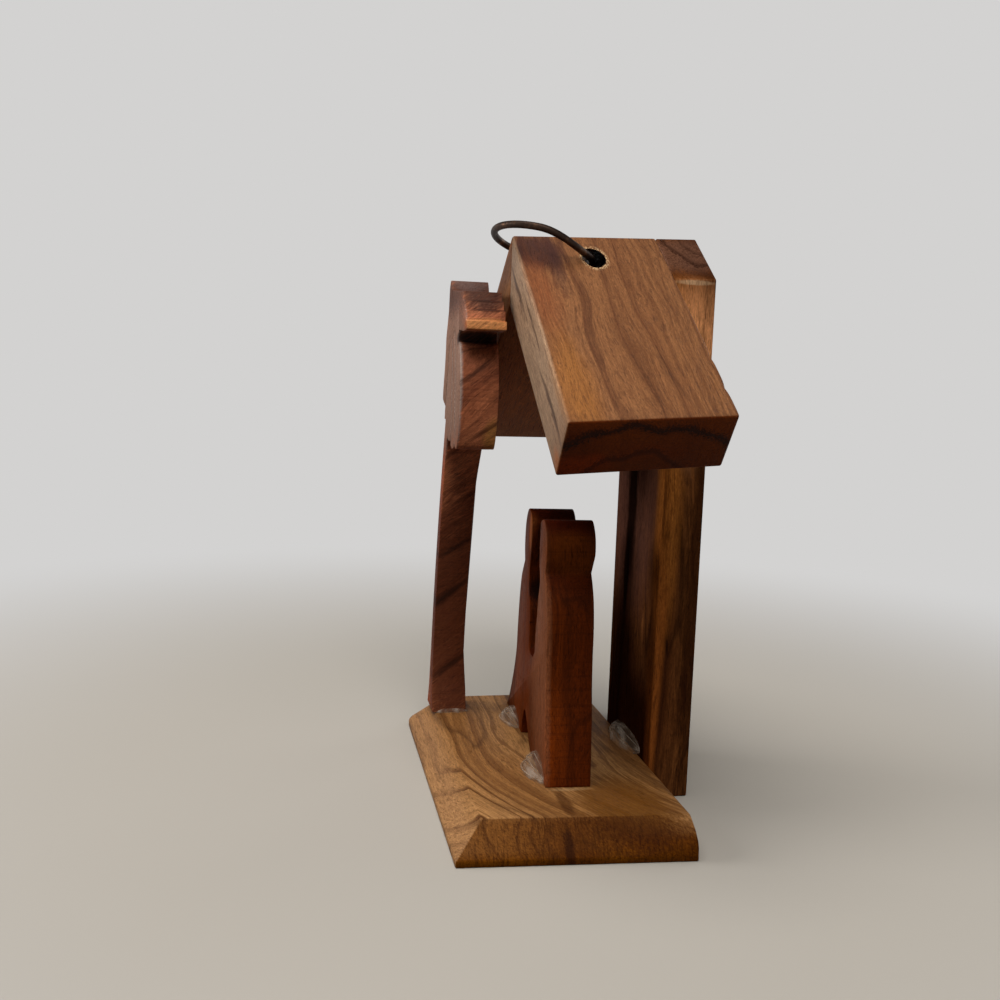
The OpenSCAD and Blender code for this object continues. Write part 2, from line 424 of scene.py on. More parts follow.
def end_grain_share(f, angles):
    """1 where the surface cuts straight across the grain, and 0 along it."""
    facing = f.add("ShaderNodeTexCoord", out="Normal")
    turned = f.add("ShaderNodeMapping", {"Vector": facing, "Rotation": angles}, vector_type="VECTOR")
    return f.step(abs(f.part(turned, 2)), *END_GRAIN_EDGE)


print("fibres", round(1 / FIBRE_PER_MM[0], 2), "mm across")

# %% [markdown]
# ## Olive wood: marks of its own
# A real board also has smoke stains, sapwood, knots and torn grain, and painted light and shade go on the
# same way. Each is a patch here: a soft ellipsoid with a centre and radii in mm, a colour and a strength,
# whose edge the fibres make ragged. A patch placed on the board is a mark, and one placed in the log is a
# streak that follows the grain. The outline of a patch on end grain is an arch, a torn patch is broken
# up into specks, and a hole's wall is painted black as shade.

# %% Patches
Patch = namedtuple("Patch", "centre radii stain strength")
# Near black: dark wood, and painted shade in a split, cuts, gaps and hole walls
NEAR_BLACK = colour(10, 5, 4)
MARK_EDGE = (0.5, 1.1)
STREAK_EDGE = (0.35, 1.1)
ARCH_EDGE = (0.01, 0.11)
ARCH_RAGGED = 0.4
TORN_EDGE = (0.75, 1.0)
TORN_SPECKS = (0.47, 0.56)
HOLE_EDGE = (0.96, 1.04)


def away_from(f, point, patch):
    """How far a point lies from the middle of a patch, counted in its radii."""
    offset = f.vector("SUBTRACT", point, patch.centre)
    return f.length(f.vector("DIVIDE", offset, patch.radii))


def stain_with(f, tone, share, patch):
    return f.mix(share * patch.strength, tone, patch.stain)


def add_patches(f, tone, point, patches, ragged, edge):
    """Stains the tone with soft patches: on the board for marks, or in the log for streaks."""
    for patch in patches:
        share = 1 - f.step(away_from(f, point, patch) + ragged, *edge)
        tone = stain_with(f, tone, share, patch)
    return tone


def add_arches(f, tone, waved, arches, ragged, end_grain):
    """Draws the outlines of patches in the log, on end grain alone."""
    for arch in arches:
        from_rim = abs(away_from(f, waved, arch) + ragged * ARCH_RAGGED - 1)
        rim = 1 - f.step(from_rim, *ARCH_EDGE)
        tone = stain_with(f, tone, rim * end_grain, arch)
    return tone


def add_drilling(f, tone, in_mm, speck, torn, shaded_holes):
    """Scatters pale torn specks round the mouth of a hole, and paints its wall black as shade."""
    for patch in torn:
        mouth = 1 - f.step(away_from(f, in_mm, patch), *TORN_EDGE)
        tone = stain_with(f, tone, mouth * f.step(speck, *TORN_SPECKS), patch)
    for hole in shaded_holes:
        tone = stain_with(f, tone, 1 - f.step(away_from(f, in_mm, hole), *HOLE_EDGE), hole)
    return tone


print("a patch has", ", ".join(Patch._fields))

# %% [markdown]
# ## Olive wood: saw marks
# A coarse saw leaves slanted strokes on the end grain of the base, and a fret saw leaves faint level
# lines on the edges that it cuts. Both are noise squeezed in one direction, and each board says how
# strong its own are.

# %% Saw marks
STROKE_SLANT = math.radians(-36)
STROKE_PER_METRE = (200.0, 4600.0, 800.0)
FRET_PER_METRE = (60.0, 60.0, 2600.0)
SAW_LINE_EDGE = (0.5, 0.66)
FACE_EDGE = (0.2, 0.6)


def saw_strokes(f, place):
    """Slanted strokes of a coarse saw."""
    slanted = f.add("ShaderNodeMapping", {
        "Vector": place, "Rotation": (STROKE_SLANT, 0.0, 0.0), "Scale": STROKE_PER_METRE,
    })
    return f.step(f.noise(slanted, detail=2.0), *SAW_LINE_EDGE)


def fret_lines(f, place):
    """Level lines of a fret saw, on the edges of a board whose faces look along Y."""
    level = f.drawn_noise(place, FRET_PER_METRE, detail=2.0)
    facing = f.add("ShaderNodeTexCoord", out="Normal")
    edge = 1 - f.step(abs(f.part(facing, 1)), *FACE_EDGE)
    return f.step(level, *SAW_LINE_EDGE) * edge


print("saw marks ready")

# %% [markdown]
# ## Olive wood: the finish
# The layers go on as they do in the tree: zones, bands, rings and veins, then stains, fibres and pores,
# and last the marks of tools and oil. A palette gives pale wood, warm wood, dark rings, veins and the
# tint of oiled end grain. A figure gives the strength of bands, rings and veins. The shine stays low,
# because the wood is oiled and not varnished.

# %% Colours of growth
Palette = namedtuple("Palette", "pale warm dark vein end_tint")
Figure = namedtuple("Figure", "bands rings veins")
BAND_EDGE = (0.40, 0.72)
RINGED_BANDS = (0.25, 0.6)
VEINED_WOOD = (0.5, 1.1)


def grown_tone(f, palette, figure, growth, clear):
    """The colours that growth alone gives. Clear is low where the figure is hard to see."""
    tone = f.mix(growth.zone, palette.pale, palette.warm)
    banded = f.step(growth.band, *BAND_EDGE)
    tone = f.mix(banded * clear * figure.bands, tone, palette.dark)
    ringed = growth.ring * f.step(growth.band, *RINGED_BANDS)
    tone = f.mix(ringed * clear * figure.rings, tone, palette.dark)
    veined = growth.vein * f.step(growth.zone + growth.band, *VEINED_WOOD)
    return f.mix(veined * clear * figure.veins, tone, palette.vein)


print("a palette has", ", ".join(Palette._fields))

# %% The finish and its relief
END_GRAIN_BLUR = 0.6
RAGGEDNESS = 0.8
FIBRE_GAPS = (0.3, 0.62)
FIBRE_SHADE = 0.5
SPECK_FLOOR = 0.5
FLECK_LIFT = 0.25
PORE_SHADE = 0.42
FIBRE_HEIGHT = 0.6
PORE_DEPTH = 0.8
RING_DEPTH = 0.25
FRET_DEPTH = 1.5
BUMP_STRENGTH = 0.4
BUMP_METRES = 0.00012
SATIN = 0.46
FIBRE_DULLING = 0.14
PORE_DULLING = 0.12
END_DULLING = 0.1


def olive_wood(name, turn, pith, palette, ring_mm, figure, waver=3.4, sweep=0.0, sawn=0.0, hatch=0.0,
               shine=0.1, marks=(), streaks=(), arches=(), torn=(), shaded_holes=()):
    """A solid wood finish. Turn, in degrees, brings the grain on to the log's Z, pith is the log's middle
    there, in mm, and waver is how far the grain wanders. Sawn and hatch are the strength of fret lines
    and of saw strokes."""
    f = Finish(name)
    angles = [math.radians(angle) for angle in turn]
    place = f.add("ShaderNodeTexCoord", out="Object")
    in_mm = f.vector("MULTIPLY", place, METRES_TO_MM)
    log = log_place(f, place, angles, pith, sweep)
    waved, bent = twisted(f, log, waver)
    growth = growth_figure(f, log, bent, ring_mm)
    fibre, pore, fleck, speck = fine_grain(f, waved)
    end_grain = end_grain_share(f, angles)
    tone = grown_tone(f, palette, figure, growth, 1 - end_grain * END_GRAIN_BLUR)

    # Stains have ragged edges, and fibres, specks and pores lie over them
    ragged = (fibre - 0.5) * RAGGEDNESS
    tone = add_patches(f, tone, in_mm, marks, ragged, MARK_EDGE)
    tone = add_patches(f, tone, waved, streaks, ragged, STREAK_EDGE)
    tone = add_arches(f, tone, waved, arches, ragged, end_grain)
    tone = f.mix((1 - f.step(fibre, *FIBRE_GAPS)) * FIBRE_SHADE, tone, palette.dark)
    tone = f.mix(1.0, tone, SPECK_FLOOR + speck + fleck * FLECK_LIFT, blend="MULTIPLY")
    tone = f.mix(pore * PORE_SHADE, tone, palette.vein)

    # Then come the drill, the saw and the oil
    tone = add_drilling(f, tone, in_mm, speck, torn, shaded_holes)
    if hatch:
        tone = f.mix(saw_strokes(f, place) * end_grain * hatch, tone, palette.vein)
    tone = f.mix(end_grain, tone, palette.end_tint, blend="MULTIPLY")

    # Fibres stand proud, and pores, rings and saw lines are sunk
    height = fibre * FIBRE_HEIGHT - pore * PORE_DEPTH - growth.ring * RING_DEPTH
    if sawn:
        line = fret_lines(f, place) * sawn
        tone = f.mix(line, tone, palette.vein)
        height = height - line * FRET_DEPTH
    bump = f.add("ShaderNodeBump", {"Height": height, "Strength": BUMP_STRENGTH, "Distance": BUMP_METRES})
    rough = SATIN + fibre * FIBRE_DULLING + pore * PORE_DULLING + end_grain * END_DULLING
    f.shader.inputs["Specular IOR Level"].default_value = shine
    return f.surface(base_color=tone, roughness=rough, normal=bump)


print("olive wood ready")

# %% [markdown]
# ## Base: its wood
# The base is the palest board, golden with brown lines that run along it and sweep aside at the right,
# where a knot pulled the grain. Its palette comes first and then what makes this board itself.

# %% Base wood
GOLD = Palette(
    pale=colour(180, 132, 82),
    warm=colour(148, 102, 57),
    dark=colour(88, 51, 23),
    vein=colour(54, 29, 13),
    end_tint=colour(170, 134, 38),
)
base_wood = olive_wood(
    "base_wood", turn=(0, -90, 0), pith=(3, 3, 0), palette=GOLD, ring_mm=1.5,
    figure=Figure(bands=0.6, rings=0.95, veins=0.5), waver=1.4, sweep=0.012, hatch=0.45, shine=0.05,
    marks=(
        # The front bevel is rubbed pale
        Patch((0.0, -15.0, 3.0), (70.0, 3.0, 4.0), colour(178, 132, 90), 0.5),
        # Painted shade from the roof, on the top by the post
        Patch((22.0, 8.0, 4.0), (12.0, 8.0, 4.0), colour(106, 63, 14), 0.85),
        # A knot line crosses the top and runs down the end
        Patch((21.0, 0.0, 5.0), (5.0, 1.0, 1.5), colour(70, 38, 16), 0.7),
        Patch((28.0, -1.0, 2.0), (3.0, 0.8, 4.5), colour(56, 27, 11), 0.75),
        # Glue was wiped off beside the near foot
        Patch((16.6, 2.0, 4.75), (0.6, 3.4, 0.5), colour(196, 160, 112), 0.4),
    ),
)
print("wood", base_wood.name)

# %% [markdown]
# ## Base: sawing
# The base is one board with a wide bevel along its front and both ends, and its right end was sawn a
# little out of square. An outline could be extruded, but a blank that is sawn down plane by plane, as at
# the bench, gives the askew end and its bevel the same skew without any sums.

# %% Base blank and bevels
BASE_LENGTH = 57.4 * MM
BASE_BEVEL = 3.7 * MM
BASE_LAND = 0.9 * MM
BASE_END_SKEW = math.radians(3.6)

base_low, base_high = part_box("base")
base = block("base_board", base_low, base_high)
bevel_rise = base_high.z - BASE_LAND
end_out = Vector((math.cos(BASE_END_SKEW), -math.sin(BASE_END_SKEW), 0.0))
end_middle = Vector((BASE_LENGTH / 2, 0.0, 0.0))
saw(base, end_middle, end_out)
for middle, outward in (
    (end_middle, end_out),
    (Vector((-BASE_LENGTH / 2, 0.0, 0.0)), Vector((-1.0, 0.0, 0.0))),
    (Vector((0.0, base_low.y, 0.0)), Vector((0.0, -1.0, 0.0))),
):
    slope = outward * bevel_rise + Vector((0.0, 0.0, BASE_BEVEL))
    saw(base, middle + Vector((0.0, 0.0, BASE_LAND)), slope.normalized())
print("base sawn, with", len(base.data.polygons), "faces")

# %% [markdown]
# ## Base: sanding
# On the sander, the far front corner was rounded over and the right end was left fuller towards the post.
# A bevel rounds the corner. Level and upright cuts give the end its verts, which are pushed out by half a
# wave over the bevel's height. Easing comes last, because it follows every edge that is there by then.

# %% Base corner
BASE_CORNER = 4.2 * MM
CORNER_X = -20 * MM
CORNER_Y = -8 * MM
CORNER_RISE = 0.5 * MM


def far_corner(edge):
    """True for a rising edge at the far front corner."""
    first, second = edge.verts
    in_corner = all(v.co.x < CORNER_X and v.co.y < CORNER_Y for v in edge.verts)
    return in_corner and abs(first.co.z - second.co.z) > CORNER_RISE


only(base)
bpy.ops.object.mode_set(mode="EDIT")
corner_edges = pick_edges(base, far_corner)
bpy.ops.mesh.bevel(offset=BASE_CORNER, segments=6, affect="EDGES")
bpy.ops.object.mode_set(mode="OBJECT")
print("rounded corner edges", corner_edges)

# %% Base end and easing
END_LEVELS_MM = (1.7, 2.5, 3.3, 4.1)
END_PLACES_MM = (2.0, 6.0, 9.0, 12.0, 14.0)
END_X = 20 * MM
FULL_FROM_Y = 2 * MM
FULLNESS = 1.2 * MM
FULLNESS_GROWTH = 1.5
BASE_TOP_SKIN = 0.1 * MM
BASE_EASE = 0.22 * MM

only(base)
bpy.ops.object.mode_set(mode="EDIT")
for level in END_LEVELS_MM:
    bpy.ops.mesh.select_all(action="SELECT")
    bpy.ops.mesh.bisect(plane_co=(0.0, 0.0, level * MM), plane_no=(0.0, 0.0, 1.0))
for place in END_PLACES_MM:
    bpy.ops.mesh.select_all(action="SELECT")
    bpy.ops.mesh.bisect(plane_co=(0.0, place * MM, 0.0), plane_no=(0.0, 1.0, 0.0))
bpy.ops.object.mode_set(mode="OBJECT")
for vert in base.data.vertices:
    on_bevel = BASE_LAND < vert.co.z < base_high.z - BASE_TOP_SKIN
    if vert.co.x > END_X and vert.co.y > FULL_FROM_Y and on_bevel:
        height = (vert.co.z - BASE_LAND) / bevel_rise
        backward = (vert.co.y - FULL_FROM_Y) / (base_high.y - FULL_FROM_Y)
        vert.co.x += FULLNESS * math.sin(math.pi * height) * backward ** FULLNESS_GROWTH
ease_edges(base, BASE_EASE)

# Easing can push a corner a hair under the table, so the underside is set flat again
for vert in base.data.vertices:
    vert.co.z = max(vert.co.z, base_low.z)
hand_over(base, base_wood, "stable", "base")

# %% [markdown]
# ## Back post: its wood
# The post is heartwood, almost black in front, with a golden strip of sapwood down its right side and a
# paler top where the light reaches it. A split runs down the upper front. It is only a dark stain here,
# because no light gets into it.

# %% Post wood
UMBER = Palette(
    pale=colour(150, 92, 48),
    warm=colour(92, 50, 24),
    dark=colour(54, 26, 13),
    vein=colour(24, 10, 6),
    end_tint=colour(190, 180, 172),
)
post_wood = olive_wood(
    "post_wood", turn=(0, 0, 0), pith=(3, 28, 0), palette=UMBER, ring_mm=1.8,
    figure=Figure(bands=0.6, rings=0.5, veins=0.6), shine=0.0,
    marks=(
        # Sapwood high on the right side, and greyer end grain on the slope above it
        Patch((10.0, 18.0, 61.0), (3.0, 8.0, 14.0), colour(246, 168, 110), 0.95),
        Patch((5.0, 18.4, 77.5), (7.0, 8.0, 4.4), colour(146, 108, 90), 0.75),
        # The front has painted sheen above and is darker below
        Patch((-3.0, 15.3, 46.0), (13.0, 1.0, 25.0), colour(140, 92, 76), 0.7),
        Patch((-0.5, 15.3, 6.0), (11.5, 1.0, 22.0), colour(46, 20, 11), 0.6),
        # A rubbed edge under the slope
        Patch((9.8, 18.3, 73.2), (0.5, 3.2, 0.4), colour(226, 184, 140), 0.7),
        # The split, and its tail
        Patch((-3.2, 15.3, 43.0), (2.6, 1.5, 14.0), NEAR_BLACK, 0.9),
        Patch((-4.6, 15.3, 31.0), (1.4, 1.5, 8.0), NEAR_BLACK, 0.85),
    ),
    streaks=(
        # The golden strip narrows downwards, beside a strip of black heartwood
        Patch((7.0, -12.0, 48.0), (3.0, 2.6, 28.0), colour(214, 130, 56), 0.8),
        Patch((7.0, -12.6, 20.0), (3.0, 1.4, 40.0), colour(164, 92, 38), 0.8),
        Patch((7.0, -7.4, 30.0), (3.0, 1.6, 50.0), colour(38, 15, 6), 0.75),
    ),
    arches=(
        # Two dark years on the sloping top
        Patch((-2.4, -6.0, 75.0), (6.4, 5.4, 30.0), colour(52, 30, 24), 0.6),
        Patch((-2.4, -6.0, 75.0), (4.2, 3.2, 30.0), colour(52, 30, 24), 0.4),
    ),
)
print("wood", post_wood.name)

# %% [markdown]
# ## Back post: shape
# The post is glued behind the base and rises to the ridge, where its top is sawn to the roof's two
# slopes. The ridge isn't quite level: it rises towards the back. Lifting verts by how near they lie to
# the ridge gives the post and both roof boards the same rise, so their joints stay closed.

# %% Back post
ROOF_PITCH = math.radians(35.4)
RIDGE_X = 1.0 * MM
RIDGE_RISE = 0.04
RIDGE_TO_EAVE = 34 * MM
ROOF_FROM_Z = 45 * MM
LEVEL_AT_Y = 5 * MM
POST_EASE = 0.25 * MM


def lift_ridge(obj):
    """Lifts verts near the ridge at the back, and sinks them at the front."""
    for vert in obj.data.vertices:
        nearness = 1 - min(1.0, abs(vert.co.x - RIDGE_X) / RIDGE_TO_EAVE)
        if vert.co.z > ROOF_FROM_Z:
            vert.co.z += RIDGE_RISE * (vert.co.y - LEVEL_AT_Y) * nearness


post_low, post_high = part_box("back_post")
ridge = Vector((RIDGE_X, 0.0, post_high.z))
post = block("gable_post", post_low, post_high)
for side in (1, -1):
    saw(post, ridge, Vector((side * math.sin(ROOF_PITCH), 0.0, math.cos(ROOF_PITCH))))
lift_ridge(post)
ease_edges(post, POST_EASE)
hand_over(post, post_wood, "stable", "back_post")

# %% [markdown]
# ## Roof: its wood
# Both roof boards come from one russet plank, with the grain running down the slope. The right board
# shows most, so it has the most marks: smoke by the ring, golden runs, painted sheen on its front face,
# and dark years on its sawn eave. Pale torn fibres stand round the mouths of the drilled hole, and its
# wall is painted black as shade.

# %% Right roof wood
RUSSET = Palette(
    pale=colour(150, 101, 63),
    warm=colour(124, 78, 48),
    dark=colour(90, 51, 31),
    vein=colour(60, 34, 24),
    end_tint=colour(194, 136, 72),
)
SMOKE = colour(70, 42, 38)
TORN = colour(226, 190, 142)
roof_wood = olive_wood(
    "roof_wood", turn=(0, 54.6, 0), pith=(60, -22, 0), palette=RUSSET, ring_mm=1.7,
    figure=Figure(bands=0.5, rings=0.5, veins=0.45),
    marks=(
        # Smoke by the ring, and painted sheen on the front face
        Patch((5.0, -3.0, 77.0), (6.6, 4.8, 5.0), SMOKE, 0.92),
        Patch((17.0, -5.7, 66.0), (30.0, 0.6, 26.0), colour(190, 156, 124), 0.8),
    ),
    streaks=(
        # Red and golden runs down the slope, and smoke that followed the grain
        Patch((5.4, 18.6, 30.0), (2.0, 3.0, 12.0), colour(150, 84, 46), 0.55),
        Patch((5.4, 19.0, 10.0), (2.0, 3.4, 15.0), colour(168, 108, 50), 0.7),
        Patch((5.4, 21.6, 40.0), (2.0, 1.0, 12.0), SMOKE, 0.8),
        # Dark lines in the front face
        Patch((2.0, 16.4, 38.0), (0.5, 1.0, 9.0), colour(70, 48, 36), 0.8),
        Patch((3.2, 16.4, 24.0), (0.4, 1.0, 9.0), colour(70, 48, 36), 0.8),
        Patch((1.6, 16.4, 11.0), (0.6, 1.0, 10.0), colour(60, 40, 30), 0.8),
        # Orange and paler wood on the eave
        Patch((-1.0, 19.0, 3.9), (2.0, 4.0, 3.0), colour(196, 108, 46), 0.7),
        Patch((0.6, 27.0, 3.9), (1.6, 6.0, 3.0), colour(150, 92, 56), 0.5),
    ),
    arches=(
        # Dark years on the eave
        Patch((-3.8, 26.0, 3.9), (8.0, 13.9, 40.0), NEAR_BLACK, 0.95),
        Patch((-5.0, 26.0, 3.9), (5.6, 7.0, 40.0), colour(48, 22, 12), 0.7),
    ),
    torn=(Patch((5.7, 5.05, 76.15), (3.5, 2.25, 3.5), TORN, 0.85),),
    # Painted shade: the hole's wall is painted black
    shaded_holes=(Patch((5.0, 5.02, 76.15), (6.0, 1.68, 1.54), NEAR_BLACK, 1.0),),
)
print("wood", roof_wood.name)

# %% Left roof wood
far_roof_wood = olive_wood(
    "far_roof_wood", turn=(0, -54.6, 0), pith=(60, -18, 0), palette=RUSSET, ring_mm=1.7,
    figure=Figure(bands=0.4, rings=0.5, veins=0.45),
    # Orange wood on the underside
    streaks=(Patch((-116.4, 22.0, 23.0), (3.2, 15.0, 28.0), colour(212, 124, 66), 0.75),),
    torn=(Patch((-3.7, 4.4, 76.15), (3.3, 2.1, 3.3), TORN, 0.85),),
    # Painted shade: the hole's wall is painted black
    shaded_holes=(Patch((-3.0, 4.4, 76.15), (6.0, 1.54, 1.54), NEAR_BLACK, 1.0),),
)
print("wood", far_roof_wood.name)

# %% [markdown]
# ## Roof: boards
# Two thick boards meet in a mitre at the ridge. Each starts as a blank that lies on the slope, is sawn off
# at the eave, which is askew on the right, and then upright at the ridge. The left board is the right one
# mirrored, so its faces are turned outwards again.

# %% Roof boards
ROOF_THICKNESS = 7.86 * MM
ROOF_LENGTH = 41.3 * MM
EAVE_SKEW = math.radians(5.5)


def roof_board(name, node, side, skew):
    """A roof board on one side of the ridge: side is 1 for the right and -1 for the left."""
    low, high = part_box(node)
    near = Vector((-ROOF_THICKNESS, low.y, -ROOF_THICKNESS))
    far = Vector((2 * ROOF_LENGTH, high.y, 0.0))
    blank = block(name, near, far)
    blank.rotation_euler = (0.0, ROOF_PITCH, 0.0)
    blank.location = ridge
    bpy.ops.object.transform_apply(location=True, rotation=True, scale=False)
    if side < 0:
        bpy.ops.object.mode_set(mode="EDIT")
        bpy.ops.mesh.select_all(action="SELECT")
        bpy.ops.transform.mirror(constraint_axis=(True, False, False), center_override=ridge)
        bpy.ops.mesh.normals_make_consistent(inside=False)
        bpy.ops.object.mode_set(mode="OBJECT")
    down = Vector((side * math.cos(ROOF_PITCH), 0.0, -math.sin(ROOF_PITCH)))
    eave_middle = ridge + down * ROOF_LENGTH + Vector((0.0, (low.y + high.y) / 2, 0.0))
    eave_out = down * math.cos(skew) + Vector((0.0, math.sin(skew), 0.0))
    saw(blank, eave_middle, eave_out)
    saw(blank, ridge, Vector((-side, 0.0, 0.0)))
    lift_ridge(blank)
    return blank


right_roof = roof_board("roof_board_right", "roof_panel_right", 1, EAVE_SKEW)
left_roof = roof_board("roof_board_left", "roof_panel_left", -1, 0.0)
print("roof boards", right_roof.name, left_roof.name)

# %% [markdown]
# ## Roof: the hole
# One hole is drilled through both boards under the ridge, from both sides, and the two drillings meet a
# little out of line. Drilling across the slope tears the grain, so the mouth is ragged. A plain cylinder
# would cut too clean a hole, so the cutter is a rod with many rings of verts: those near the right mouth
# are pushed out unevenly, and those past the ridge are moved aside.

# %% Drilled hole
BORE_RADIUS = 1.5 * MM
BORE_DROP = 3.35 * MM
BORE_SETBACK = 10.5 * MM
BORE_STEP = 0.5 * MM
BORE_STEP_REACH = 2.0 * MM
BORE_TEAR = 0.25 * MM
BORE_TEAR_REACH = 2.0 * MM
ROD_LENGTH = 30 * MM
ROD_CUTS = 40

roof_low, roof_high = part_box("roof_panel_right")
bore_axis = Vector((RIDGE_X, roof_low.y + BORE_SETBACK, ridge.z - BORE_DROP))
right_mouth = BORE_DROP / math.tan(ROOF_PITCH)


def bore_cutter():
    """A rod along X, torn wider at the back of its right mouth, and stepped aside past the ridge."""
    random.seed(11)
    bpy.ops.object.select_all(action="DESELECT")
    bpy.ops.mesh.primitive_cylinder_add(
        vertices=28, radius=BORE_RADIUS, depth=ROD_LENGTH, end_fill_type="TRIFAN",
        location=bore_axis, rotation=(0.0, math.radians(90), 0.0),
    )
    rod = bpy.context.object
    bpy.ops.object.transform_apply(location=True, rotation=True, scale=True)
    bpy.ops.object.mode_set(mode="EDIT")
    pick_edges(rod, lambda e: abs(e.verts[0].co.x - e.verts[1].co.x) > ROD_LENGTH / 3)
    bpy.ops.mesh.subdivide(number_cuts=ROD_CUTS)
    net = bmesh.from_edit_mesh(rod.data)
    for vert in net.verts:
        radial = Vector((0.0, vert.co.y - bore_axis.y, vert.co.z - bore_axis.z)).normalized()
        along = vert.co.x - RIDGE_X
        near_mouth = max(0.0, 1.0 - abs(along - right_mouth) / BORE_TEAR_REACH)
        backward = max(0.0, radial.y)
        vert.co += radial * (near_mouth * backward * random.uniform(0.8, 1.2) * BORE_TEAR)
        vert.co.y -= BORE_STEP * min(1.0, max(0.0, -along / BORE_STEP_REACH))
    bmesh.update_edit_mesh(rod.data)
    bpy.ops.object.mode_set(mode="OBJECT")
    return rod


bore_rod = bore_cutter()
for panel in (right_roof, left_roof):
    apply_modifier(panel, "BOOLEAN", operation="DIFFERENCE", object=bore_rod, solver="EXACT")
    print(panel.name, "drilled, with", len(panel.data.polygons), "faces")
bpy.data.objects.remove(bore_rod)

# %% [markdown]
# ## Roof: edges
# Sandpaper reached the outer edges and not the hole, so only sharp edges that lie clear of the hole are
# bevelled. The saw nibbled the right board's back edge near the eave. Cuts across the board give that
# edge its verts, and a row of sharp waves draws them in.

# %% Eased roof edges
ROOF_EASE = 0.3 * MM
SHARP = math.radians(25)


def outer_edge(edge):
    """True for a sharp edge that lies clear of the hole."""
    if len(edge.link_faces) != 2 or edge.calc_face_angle() <= SHARP:
        return False
    reaches = [math.hypot(v.co.y - bore_axis.y, v.co.z - bore_axis.z) for v in edge.verts]
    return max(reaches) > 2 * BORE_RADIUS


for panel in (right_roof, left_roof):
    only(panel)
    bpy.ops.object.mode_set(mode="EDIT")
    eased = pick_edges(panel, outer_edge)
    bpy.ops.mesh.bevel(offset=ROOF_EASE, segments=3, affect="EDGES")
    bpy.ops.object.mode_set(mode="OBJECT")
    print(panel.name, "eased edges", eased)

# %% Nibbled back edge
NIBBLE_START = 22 * MM
NIBBLE_CUTS = 24
NIBBLE_WAVES = 3
NIBBLE_DEPTH = 0.22 * MM
NIBBLE_SKIN = 0.5 * MM

down_right = Vector((math.cos(ROOF_PITCH), 0.0, -math.sin(ROOF_PITCH)))
nibble_length = ROOF_LENGTH - NIBBLE_START
only(right_roof)
bpy.ops.object.mode_set(mode="EDIT")
for step in range(NIBBLE_CUTS + 1):
    bpy.ops.mesh.select_all(action="SELECT")
    reach = NIBBLE_START + nibble_length * step / NIBBLE_CUTS
    bpy.ops.mesh.bisect(plane_co=ridge + down_right * reach, plane_no=down_right)
bpy.ops.object.mode_set(mode="OBJECT")
nibbled = 0
for vert in right_roof.data.vertices:
    share = ((vert.co - ridge).dot(down_right) - NIBBLE_START) / nibble_length
    if vert.co.y > roof_high.y - NIBBLE_SKIN and share > 0:
        wave = abs(math.sin(math.pi * NIBBLE_WAVES * share))
        vert.co.y -= NIBBLE_DEPTH * (1 - wave) ** 2
        nibbled += 1
hand_over(right_roof, roof_wood, "stable", "roof_panel_right")
hand_over(left_roof, far_roof_wood, "stable", "roof_panel_left")
print("verts nibbled", nibbled)

# %% [markdown]
# ## Palm: its wood
# The palm is chestnut brown, with its grain slanting across the board, so dark bands cross the trunk.
# The crown's front is greyed by painted sheen, and its top is darker, with painted sheen along the top
# edge and painted shadow lines under its steps. The tip in front has painted light, and the cut under it
# painted shade.

# %% Palm wood
CHESTNUT = Palette(
    pale=colour(212, 130, 88),
    warm=colour(174, 100, 66),
    dark=colour(104, 53, 34),
    vein=colour(42, 19, 12),
    end_tint=colour(220, 190, 170),
)
# Painted shadow lines under the steps of the crown, at these heights in mm
CROWN_STEP_SHADOWS_Z = (71.5, 69.8, 68.5, 67.2)
step_shadow_marks = [
    Patch((3.0, -9.2, shadow_z), (12.0, 3.2, 0.26), colour(40, 22, 16), 0.75) for shadow_z in CROWN_STEP_SHADOWS_Z
]
palm_wood = olive_wood(
    "palm_wood", turn=(52, 0, 0), pith=(20, 40, 0), palette=CHESTNUT, ring_mm=2.0,
    figure=Figure(bands=0.45, rings=0.35, veins=0.5), sawn=0.15,
    marks=(
        # The crown's front is greyed by painted sheen, the trunk is dark, and the crown's lower corner is
        # golden
        Patch((-5.0, -12.6, 60.0), (18.0, 0.7, 16.0), colour(198, 182, 172), 0.85),
        Patch((-16.0, -9.0, 20.0), (10.0, 8.0, 29.0), colour(68, 29, 12), 0.85),
        Patch((1.6, -7.0, 50.5), (3.0, 2.2, 3.6), colour(206, 142, 76), 0.85),
        # The crown's top is darker, with painted sheen along its top edge
        Patch((-8.0, -9.3, 70.8), (26.0, 5.0, 4.4), colour(66, 45, 38), 0.92),
        Patch((-10.0, -9.3, 73.4), (26.0, 3.8, 2.0), colour(112, 90, 84), 0.85),
        # Painted shadow lines under the crown's steps
        *step_shadow_marks,
        # Painted light on the lit tip, and painted shade in the recess under it
        Patch((6.0, -9.6, 66.5), (3.0, 5.0, 1.1), colour(232, 158, 96), 0.95),
        Patch((3.0, -9.6, 65.3), (6.0, 5.0, 0.5), NEAR_BLACK, 0.95),
        Patch((-0.8, -9.6, 64.7), (2.2, 5.0, 1.3), NEAR_BLACK, 1.0),
    ),
    streaks=(
        # Dark bands on the crown's near edge
        Patch((-16.5, -93.5, 29.5), (4.0, 0.7, 6.0), colour(34, 14, 9), 0.8),
        Patch((-16.5, -86.6, 25.0), (4.0, 0.8, 5.5), colour(34, 14, 9), 0.8),
        # Dark bands across the trunk
        Patch((-36.0, -72.0, 12.0), (12.0, 0.7, 5.0), NEAR_BLACK, 0.8),
        Patch((-36.0, -66.0, 7.0), (12.0, 0.9, 5.0), NEAR_BLACK, 0.8),
        Patch((-36.0, -56.0, 0.0), (12.0, 0.7, 5.0), NEAR_BLACK, 0.7),
    ),
)
print("wood", palm_wood.name)

